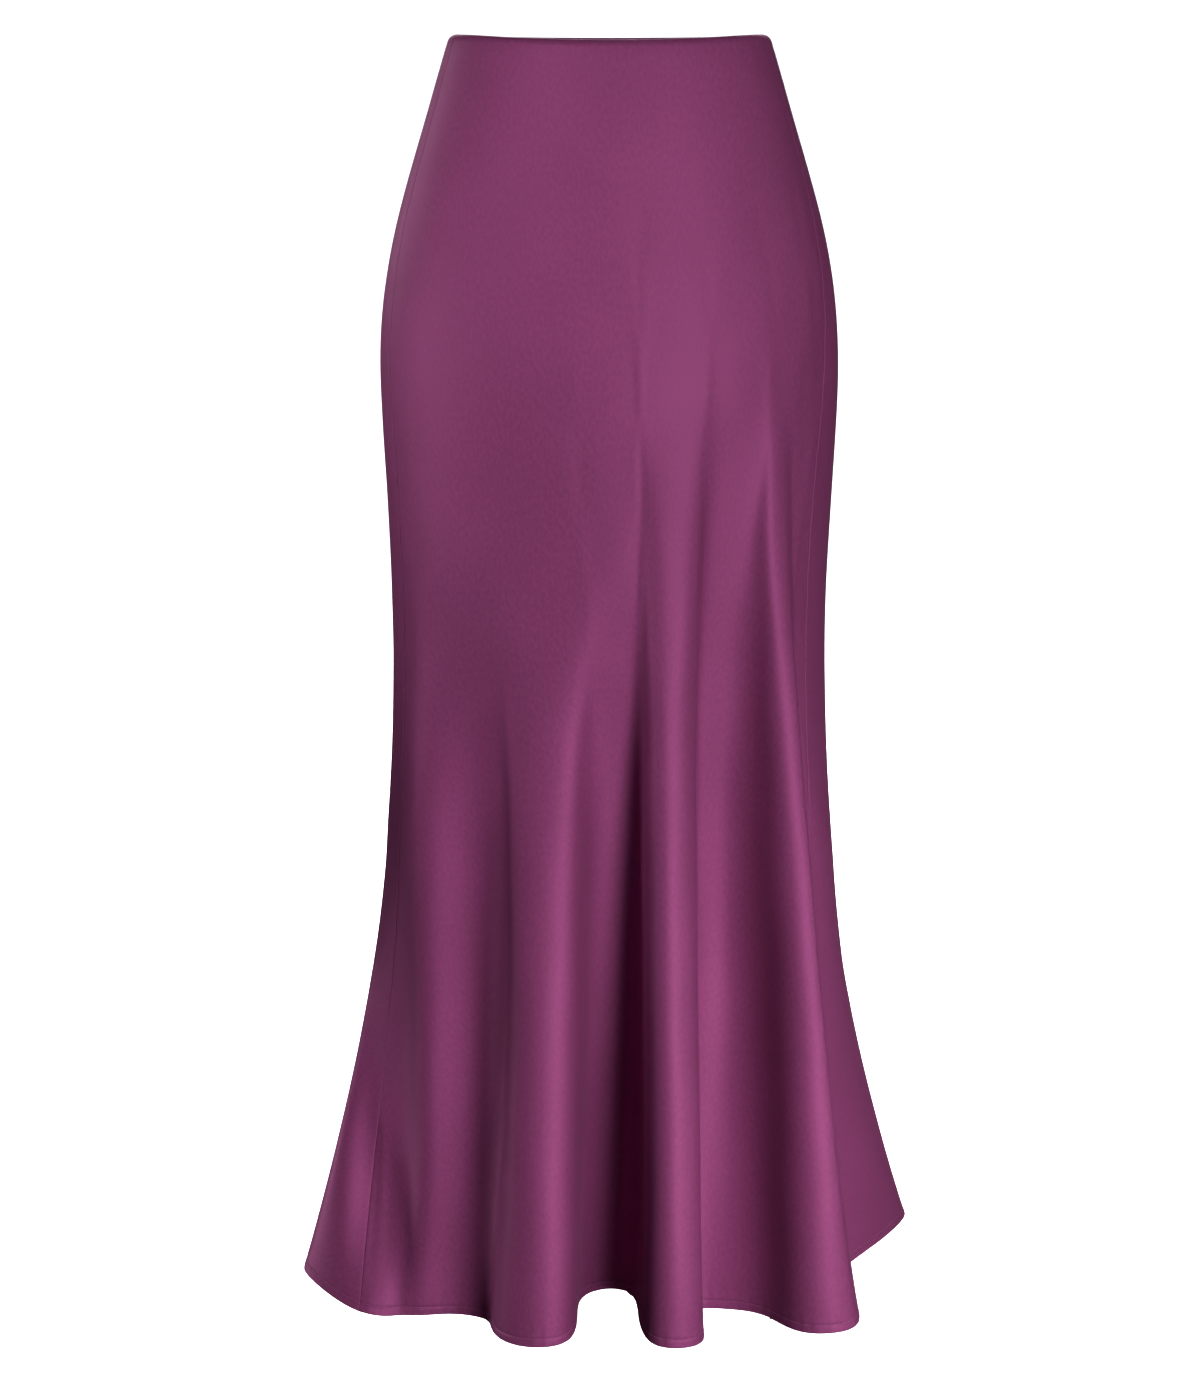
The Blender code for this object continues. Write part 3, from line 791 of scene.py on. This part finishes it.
def with_seams(settings, table, side, share, drop):
    """A panel's grid with its pressed side edges: regular columns between two sets of rounded ones."""
    start, end = table[side]
    wide = np.concatenate([[start - SEAM_SHARE, start], share, [end, end + SEAM_SHARE]])
    points, normal = skin(settings, table, wide, drop)
    radius = settings.cut.seam_round
    left = pressed_edge(points[:, 1], normal[:, 1], points[:, 2], radius)
    right = pressed_edge(points[:, -2], normal[:, -2], points[:, -3], radius)[:, ::-1]
    columns = [1] * left.shape[1] + list(range(2, points.shape[1] - 2)) + [-2] * right.shape[1]
    return np.concatenate([left, points[:, 2:-2], right], axis=1), normal[:, columns]


def folded(edge, along, inward, radius):
    """Rows of a fold: edge + along x radius x sin + inward x radius x (1 - cos), over a half turn."""
    turn = np.linspace(0, np.pi, FOLD_STEPS + 1)[1:, None, None]
    return edge + along * radius * np.sin(turn) + inward * radius * (1 - np.cos(turn))


def panel_columns(table, side, count):
    """Shares of a panel's regular columns, which end short of its seams."""
    start, end = table[side]
    return column_shares(table, start + SEAM_SHARE, end - SEAM_SHARE, count)


def panel_grid(settings, table, side):
    """A whole panel: the fold inside the top roll, the outer face, and the fold along the hem."""
    cut = settings.cut
    share = panel_columns(table, side, settings.surface.columns)
    points, normal = with_seams(settings, table, side, share, panel_drops(settings))
    down = unit(points[-1] - points[-2])
    hem = folded(points[-1], down, -normal[-1], cut.hem_fold)
    up = np.array([0.0, 0.0, 1.0])
    inward = unit(normal[ROLL_ROWS] * (-1, -1, 0))
    turn = np.linspace(0, np.pi / 2, FOLD_STEPS // 2 + 1)[1:, None, None]
    top = points[0] + inward * cut.top_fold * np.sin(turn) - up * cut.top_fold * (1 - np.cos(turn))
    return np.concatenate([top[::-1], points, hem])


def turned_grid(settings, table, side, heights, offsets, from_top):
    """A strip of cloth turned to the inside: the outer face, moved in by the offset at each height.

    Heights are metres from the top edge or from the hem, and the rows run from the top down.
    """
    cut = settings.cut
    whole = cut.top_level - cut.hem_level
    drop = heights / whole if from_top else 1 - heights / whole
    share = panel_columns(table, side, settings.surface.columns // 2)
    points, normal = skin(settings, table, share, drop, rolled=False)
    if from_top:
        normal = unit(normal * (1, 1, 0))
    return points - normal * offsets[:, None, None]


def hem_turn_grid(settings, table, side):
    """The turned hem: from the hem's fold up to the raw edge, pressed against the panel."""
    cut = settings.cut
    heights = np.array([cut.hem_turn, *HEM_TURN_STEPS, cut.hem_fold])
    loose = 2 * cut.hem_fold
    pressed = 2 * cut.wall + TURN_GAP
    offsets = pressed + (loose - pressed) * (1 - eased(heights / cut.hem_turn))
    return turned_grid(settings, table, side, heights, offsets, from_top=False)


def waist_turn_grid(settings, table, side):
    """The turned waist: from the fold inside the top roll down to its edge, an S that meets the panel."""
    cut = settings.cut
    heights = np.linspace(cut.top_fold, cut.waist_turn, WAIST_TURN_ROWS)
    loose = cut.edge_roll + cut.top_fold
    pressed = 2 * cut.wall + TURN_GAP
    offsets = pressed + (loose - pressed) * (1 - eased((heights - cut.top_fold) / WAIST_TURN_REACH))
    return turned_grid(settings, table, side, heights, offsets, from_top=True)


def surface_lengths(points):
    """Place of each point on its surface, in metres: across from the middle column, and up from the hem."""
    across = np.linalg.norm(np.diff(points, axis=1), axis=-1)
    down = np.linalg.norm(np.diff(points, axis=0), axis=-1)
    u = np.concatenate([np.zeros((len(points), 1)), np.cumsum(across, axis=1)], axis=1)
    v = np.concatenate([np.zeros((1, points.shape[1])), np.cumsum(down, axis=0)], axis=0)
    return u - u[:, [u.shape[1] // 2]], v[-1:] - v


def mesh_object(name, points, faces, materials):
    """A smooth mesh in the scene, with its materials."""
    mesh = bpy.data.meshes.new(name)
    mesh.from_pydata(points.reshape(-1, 3).tolist(), [], faces)
    mesh.shade_smooth()
    for material in materials:
        mesh.materials.append(material)
    thing = bpy.data.objects.new(name, mesh)
    bpy.context.scene.collection.objects.link(thing)
    return thing


def ring_walls(index):
    """Faces between rings of points, given by the points' numbers, where each ring closes on itself."""
    after = np.roll(index, -1, axis=1)
    return np.stack([index[:-1], index[1:], after[1:], after[:-1]], axis=-1).reshape(-1, 4)


def ring_cap(ring, centre):
    """Triangles that close a ring of points with one point at its middle."""
    return np.stack([np.full(len(ring), centre), ring, np.roll(ring, -1)], axis=-1)


def sheet_object(name, points, materials, wall, inwards=False):
    """A thin shell on a grid of points, with its surface lengths in metres as the UV map cloth."""
    rows, columns = points.shape[:2]
    index = np.arange(rows * columns).reshape(rows, columns)
    faces = np.stack([index[:-1, :-1], index[1:, :-1], index[1:, 1:], index[:-1, 1:]], axis=-1).reshape(-1, 4)
    if inwards:
        faces = faces[:, ::-1]
    thing = mesh_object(name, points, faces.tolist(), materials)
    u, v = surface_lengths(points)
    lengths = np.stack([u.ravel(), v.ravel()], axis=-1)[faces.ravel()]
    thing.data.uv_layers.new(name="cloth").data.foreach_set("uv", lengths.astype(np.float32).ravel())
    shell = thing.modifiers.new("wall", "SOLIDIFY")
    shell.thickness = wall
    shell.offset = -1
    shell.material_offset = len(materials) - 1
    shell.material_offset_rim = 0
    return thing


# ---------------------------------------------------------------- stitches


def stitch_shape(length, radius):
    """One stitch as points and faces: a bead, radius x the root of sin across and length / 2 x cos along."""
    turn = np.linspace(0, np.pi, STITCH_STEPS + 2)[1:-1]
    side = np.arange(STITCH_SIDES) * 2 * np.pi / STITCH_SIDES
    turn, side = np.meshgrid(turn, side, indexing="ij")
    wide = radius * np.sin(turn) ** 0.5
    body = np.stack([length / 2 * np.cos(turn), wide * np.cos(side), wide * np.sin(side)], axis=-1)
    points = np.concatenate([body.reshape(-1, 3), [[length / 2, 0, 0], [-length / 2, 0, 0]]])
    index = np.arange(STITCH_STEPS * STITCH_SIDES).reshape(-1, STITCH_SIDES)
    first = ring_cap(index[0], len(points) - 2)
    last = ring_cap(index[-1], len(points) - 1)
    facing_back = last[:, [0, 2, 1]]
    return points, ring_walls(index), np.concatenate([first, facing_back])


def between(places, mark, values):
    """A line's points or directions at these places along it. The mark says how far along each value is."""
    return np.stack([np.interp(places, mark, values[:, axis]) for axis in range(3)], axis=-1)


def stitch_line(settings, table, side):
    """Centre, direction and outward direction of each stitch round one panel's hem.

    A stitch runs from the line's place a quarter of a pitch behind it towards the one a quarter ahead.
    """
    stitching = settings.stitching
    whole = settings.cut.top_level - settings.cut.hem_level
    start, end = table[side]
    share = np.linspace(start + SEAM_SHARE / 2, end - SEAM_SHARE / 2, STITCH_SAMPLES)
    drops = 1 - (stitching.height + np.array([GROOVE_WIDTH, 0, -GROOVE_WIDTH])) / whole
    points, normal = skin(settings, table, share, drops)
    points, normal = points[1], normal[1]
    mark = np.concatenate([[0], np.cumsum(np.linalg.norm(np.diff(points, axis=0), axis=-1))])
    pitch = stitching.length + stitching.gap
    places = np.arange(pitch / 2, mark[-1], pitch)
    along = unit(between(places + pitch / 4, mark, points) - between(places - pitch / 4, mark, points))
    out = unit(between(places, mark, normal))
    out = unit(out - along * np.sum(out * along, axis=-1, keepdims=True))
    return between(places, mark, points), along, out


def stitch_object(settings, table, side, material):
    """All stitches of one panel's hem in one mesh, each the same bead set in its own direction."""
    stitching = settings.stitching
    shape, quads, triangles = stitch_shape(stitching.length, stitching.radius)
    centre, along, out = stitch_line(settings, table, side)
    axes = np.stack([along, out, np.cross(along, out)], axis=1)
    points = centre[:, None] + shape @ axes
    base = (np.arange(len(centre)) * len(shape))[:, None, None]
    faces = (quads + base).reshape(-1, 4).tolist() + (triangles + base).reshape(-1, 3).tolist()
    return mesh_object(f"hem_stitching_{side}", points, faces, [material])


# ---------------------------------------------------------------- materials


def new_material(name):
    """A node material of this name, with its tree and its shader."""
    material = bpy.data.materials.new(name)
    material.use_nodes = True
    tree = material.node_tree
    return material, tree, tree.nodes["Principled BSDF"]


def set_sockets(node, values):
    """Sets a node's own sockets, each by its title."""
    for title, value in values.items():
        node.inputs[title].default_value = value


def add_node(tree, kind, sockets=None, **values):
    """A node of this kind, with its own values set by name and its sockets by title."""
    node = tree.nodes.new(kind)
    for name, value in values.items():
        setattr(node, name, value)
    set_sockets(node, sockets or {})
    return node


def noise(tree, coordinates, scale, detail, stretch=(1, 1, 1), turn=0.0):
    """Noise on the coordinates, stretched and turned about Z first."""
    mapping = add_node(tree, "ShaderNodeMapping", {"Scale": stretch, "Rotation": (0, 0, turn)})
    tree.links.new(coordinates, mapping.inputs["Vector"])
    node = add_node(tree, "ShaderNodeTexNoise", {"Scale": scale, "Detail": detail})
    tree.links.new(mapping.outputs["Vector"], node.inputs["Vector"])
    return node.outputs["Fac"]


def varied(tree, value, middle, change):
    """The middle, less the change where the noise is low and plus the change where it is high."""
    node = add_node(tree, "ShaderNodeMapRange", {"From Min": NOISE_LOW, "From Max": NOISE_HIGH})
    set_sockets(node, {"To Min": middle - change, "To Max": middle + change})
    tree.links.new(value, node.inputs["Value"])
    return node.outputs["Result"]


def mixed(tree, colour, factor):
    """The colour multiplied by a grey of this factor."""
    node = add_node(tree, "ShaderNodeMix", {"Factor": 1.0}, data_type="RGBA", blend_type="MULTIPLY")
    if isinstance(colour, bpy.types.NodeSocket):
        tree.links.new(colour, node.inputs["A"])
    else:
        node.inputs["A"].default_value = colour
    tree.links.new(factor, node.inputs["B"])
    return node.outputs["Result"]


def bumped(tree, height, distance, strength, below=None):
    """Relief of this height, on top of the relief below."""
    node = add_node(tree, "ShaderNodeBump", {"Distance": distance, "Strength": strength})
    tree.links.new(height, node.inputs["Height"])
    if below is not None:
        tree.links.new(below, node.inputs["Normal"])
    return node.outputs["Normal"]


def satin_material(name, colour, roughness, finish, sheen, weave_strength):
    """Satin cut on the bias: long floats with fine grooves at 45 degrees, soft mottling and uneven gloss."""
    material, tree, shader = new_material(name)
    place = add_node(tree, "ShaderNodeUVMap", uv_map="cloth").outputs["UV"]
    cloud = noise(tree, place, CLOUD_SCALE, detail=2)
    mottle = noise(tree, place, 1 / finish.mottle, detail=3, stretch=(1, MOTTLE_STRETCH, 1), turn=BIAS)
    streak = noise(tree, place, 1 / finish.float_length, detail=2, stretch=(1, FLOAT_STRETCH, 1), turn=BIAS)
    weave = add_node(tree, "ShaderNodeTexBrick", WEAVE_PATTERN, offset=WEAVE_SHIFT)
    set_sockets(weave, {"Brick Width": finish.float_length, "Row Height": finish.float_width})
    set_sockets(weave, {"Mortar Size": finish.float_width * WEAVE_GROOVE})
    turned = add_node(tree, "ShaderNodeMapping", {"Rotation": (0, 0, BIAS)})
    tree.links.new(place, turned.inputs["Vector"])
    tree.links.new(turned.outputs["Vector"], weave.inputs["Vector"])

    shade = mixed(tree, (*colour, 1), varied(tree, mottle, 1, MOTTLE_SHADE))
    shade = mixed(tree, shade, varied(tree, cloud, 1, CLOUD_SHADE))
    shade = mixed(tree, shade, varied(tree, streak, 1, FLOAT_SHADE))
    tree.links.new(shade, shader.inputs["Base Color"])
    tree.links.new(varied(tree, mottle, roughness, GLOSS_CHANGE), shader.inputs["Roughness"])
    relief = bumped(tree, mottle, MOTTLE_RELIEF, RELIEF_STRENGTH)
    relief = bumped(tree, streak, FLOAT_RELIEF, RELIEF_STRENGTH, relief)
    relief = bumped(tree, weave.outputs["Color"], WEAVE_RELIEF, weave_strength, relief)
    tree.links.new(relief, shader.inputs["Normal"])
    set_sockets(shader, SATIN_SHADER)
    set_sockets(shader, {"Sheen Weight": sheen})
    material.diffuse_color = (*colour, 1)
    return material


def thread_material(name, colour):
    """Polyester thread: a fine twist across each stitch, and a slight change of shade between stitches."""
    material, tree, shader = new_material(name)
    place = add_node(tree, "ShaderNodeTexCoord").outputs["Object"]
    shade = noise(tree, place, THREAD_SHADE_SCALE, detail=1)
    twist = noise(tree, place, TWIST_SCALE, detail=1)
    shade = mixed(tree, (*colour, 1), varied(tree, shade, 1, THREAD_SHADE))
    tree.links.new(shade, shader.inputs["Base Color"])
    tree.links.new(varied(tree, twist, THREAD_ROUGHNESS, THREAD_GLOSS_CHANGE), shader.inputs["Roughness"])
    tree.links.new(bumped(tree, twist, THREAD_RELIEF, THREAD_RELIEF_STRENGTH), shader.inputs["Normal"])
    set_sockets(shader, {"Sheen Weight": THREAD_SHEEN})
    material.diffuse_color = (*colour, 1)
    return material


def floor_material(colour):
    """Matt painted board with a faint unevenness."""
    material, tree, shader = new_material("studio_floor")
    place = add_node(tree, "ShaderNodeTexCoord").outputs["Object"]
    cloud = noise(tree, place, FLOOR_SCALE, detail=2)
    shade = mixed(tree, (*colour, 1), varied(tree, cloud, FLOOR_SHADE, FLOOR_SHADE_CHANGE))
    tree.links.new(shade, shader.inputs["Base Color"])
    set_sockets(shader, FLOOR_SHADER)
    return material


def right_side(finish):
    """The satin's right side."""
    name = "plum_satin_face"
    return satin_material(name, finish.satin, finish.satin_roughness, finish, FACE_SHEEN, FACE_WEAVE)


def wrong_side(finish):
    """The satin's wrong side, one material for all the pieces that show it."""
    name = "plum_satin_reverse"
    return bpy.data.materials.get(name) or satin_material(
        name, finish.wrong_side, finish.wrong_roughness, finish, REVERSE_SHEEN, REVERSE_WEAVE
    )


# ---------------------------------------------------------------- operators


class SKIRT_OT_panels(bpy.types.Operator):
    """Front and back panel: thin satin shells that stand for the two packed panels"""

    bl_idname = "skirt.panels"
    bl_label = "Panels"

    def execute(self, context):
        settings = context.scene.skirt
        table = ring_table(settings.cut)
        materials = (right_side(settings.finish), wrong_side(settings.finish))
        for side, node in PANEL_NODES.items():
            points = panel_grid(settings, table, side)
            piece = sheet_object(f"skirt_{side}", points, materials, settings.cut.wall)
            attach(piece, "root")
            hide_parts(node)
        return {"FINISHED"}


class SKIRT_OT_turned_edges(bpy.types.Operator):
    """Turned hem and turned waist of each panel: strips of cloth folded to the inside"""

    bl_idname = "skirt.turned_edges"
    bl_label = "Turned edges"

    def execute(self, context):
        settings = context.scene.skirt
        table = ring_table(settings.cut)
        materials = (wrong_side(settings.finish),)
        kinds = (
            ("turned_hem", HEM_TURN_NODES, hem_turn_grid),
            ("turned_waist", WAIST_TURN_NODES, waist_turn_grid),
        )
        for name, nodes, grid in kinds:
            for side, node in nodes.items():
                points = grid(settings, table, side)
                piece = sheet_object(f"{name}_{side}", points, materials, settings.cut.wall, inwards=True)
                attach(piece, "root")
                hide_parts(node)
        return {"FINISHED"}


class SKIRT_OT_stitching(bpy.types.Operator):
    """The line of stitches that holds the turned hem"""

    bl_idname = "skirt.stitching"
    bl_label = "Hem stitching"

    def execute(self, context):
        settings = context.scene.skirt
        table = ring_table(settings.cut)
        material = thread_material("plum_thread", settings.finish.thread)
        for side in PANEL_NODES:
            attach(stitch_object(settings, table, side, material), "root")
        return {"FINISHED"}


class SKIRT_OT_declare_sheets(bpy.types.Operator):
    """Takes no step of its own: it returns at once and leaves the scene as it is"""

    bl_idname = "skirt.declare_sheets"
    bl_label = "Declare the sheets"

    def execute(self, context):
        return {"FINISHED"}


class SKIRT_OT_studio(bpy.types.Operator):
    """Pale floor with a wall all round, soft lamps and the camera"""

    bl_idname = "skirt.studio"
    bl_label = "Studio"

    def execute(self, context):
        settings = context.scene.skirt
        studio = settings.studio
        floor = studio_floor(studio)
        world_light(context.scene)
        for lamp in LAMPS:
            add_lamp(lamp, studio.light)
        add_floor_lamp(floor, studio.light)
        add_camera(studio)
        context.scene.view_settings.view_transform = "Standard"
        return {"FINISHED"}


def studio_floor(studio):
    """A round floor that curves up into a wall: a profile of radius and height turned about the middle."""
    bend = np.linspace(0, np.pi / 2, STAGE_STEPS + 1)
    radius = STAGE_RADIUS - STAGE_CORNER * (1 - np.sin(bend))
    radius = np.concatenate([STAGE_RINGS, radius, [STAGE_RADIUS]])[:, None]
    height = np.concatenate([np.zeros(len(STAGE_RINGS)), STAGE_CORNER * (1 - np.cos(bend)), [STAGE_WALL]])
    level = np.repeat(height[:, None] + studio.floor_level, STAGE_SIDES, axis=1)
    turn = np.arange(STAGE_SIDES) * 2 * np.pi / STAGE_SIDES
    ring = np.stack([radius * np.cos(turn), radius * np.sin(turn), level], axis=-1)
    index = np.arange(len(ring) * STAGE_SIDES).reshape(-1, STAGE_SIDES) + 1
    points = np.concatenate([[[0.0, 0.0, studio.floor_level]], ring.reshape(-1, 3)])
    faces = ring_walls(index).tolist() + ring_cap(index[0], 0).tolist()
    floor = mesh_object("studio_floor", points, faces, [floor_material(studio.floor_colour)])
    floor.visible_diffuse = False
    floor.visible_glossy = False
    return floor


def world_light(scene):
    """A faint even light from all round."""
    world = bpy.data.worlds.new("studio_air")
    world.use_nodes = True
    set_sockets(world.node_tree.nodes["Background"], {"Color": (1, 1, 1, 1), "Strength": WORLD_STRENGTH})
    scene.world = world


def add_lamp(lamp, strength):
    """A square soft lamp on a sphere round a point of the skirt's middle line, looking at that point."""
    azimuth, elevation = np.radians([lamp.azimuth, lamp.elevation])
    level_way = np.array([np.sin(azimuth), -np.cos(azimuth)]) * np.cos(elevation)
    way = Vector((*level_way, np.sin(elevation)))
    light = bpy.data.lights.new(lamp.name, "AREA")
    light.size = lamp.size
    light.spread = np.radians(lamp.spread)
    light.energy = lamp.power * strength
    thing = bpy.data.objects.new(lamp.name, light)
    thing.location = Vector((0, 0, lamp.level)) + way * lamp.distance
    thing.rotation_euler = (-way).to_track_quat("-Z", "Y").to_euler()
    thing.visible_camera = False
    bpy.context.scene.collection.objects.link(thing)
    return thing


def add_floor_lamp(floor, strength):
    """A large lamp overhead that lights only the floor and wall, so that they stay pale."""
    lamp = add_lamp(FLOOR_LAMP, strength)
    lit = bpy.data.collections.new("floor_lamp_lights")
    lit.objects.link(floor)
    lamp.light_linking.receiver_collection = lit


def add_camera(studio):
    """The camera, at the height of the waist and looking down a little."""
    camera = bpy.data.cameras.new("camera")
    camera.lens = studio.camera_lens
    thing = bpy.data.objects.new("camera", camera)
    thing.location = studio.camera_place
    thing.rotation_euler = (np.pi / 2 - studio.camera_tilt, 0, 0)
    bpy.context.scene.collection.objects.link(thing)
    bpy.context.scene.camera = thing


class SKIRT_PT_sidebar(bpy.types.Panel):
    """Lists the pieces and the settings in the sidebar"""

    bl_label = "Fishtail skirt"
    bl_idname = "SKIRT_PT_sidebar"
    bl_space_type = "VIEW_3D"
    bl_region_type = "UI"
    bl_category = "Skirt"

    def draw(self, context):
        settings = context.scene.skirt
        for operator in OPERATORS:
            self.layout.operator(operator.bl_idname)
        for name in ("cut", "surface", "stitching", "finish", "studio"):
            box = self.layout.box()
            box.label(text=name.title())
            group = getattr(settings, name)
            for key in group.__annotations__:
                box.prop(group, key)


OPERATORS = (
    SKIRT_OT_panels,
    SKIRT_OT_turned_edges,
    SKIRT_OT_stitching,
    SKIRT_OT_declare_sheets,
    SKIRT_OT_studio,
)
GROUPS = (SkirtCut, SkirtSurface, SkirtStitching, SkirtFinish, SkirtStudio, SkirtSettings)
CLASSES = GROUPS + OPERATORS + (SKIRT_PT_sidebar,)


def register():
    """Adds the classes to Blender, and the skirt's settings to its scenes."""
    for kind in CLASSES:
        bpy.utils.register_class(kind)
    bpy.types.Scene.skirt = bpy.props.PointerProperty(name="Skirt", type=SkirtSettings)


def unregister():
    """Takes the settings and the classes away again."""
    del bpy.types.Scene.skirt
    for kind in reversed(CLASSES):
        bpy.utils.unregister_class(kind)


def main():
    """Makes the skirt and its studio."""
    register()
    bpy.ops.skirt.panels()
    bpy.ops.skirt.turned_edges()
    bpy.ops.skirt.stitching()
    bpy.ops.skirt.declare_sheets()
    bpy.ops.skirt.studio()


if __name__ == "__main__":
    main()
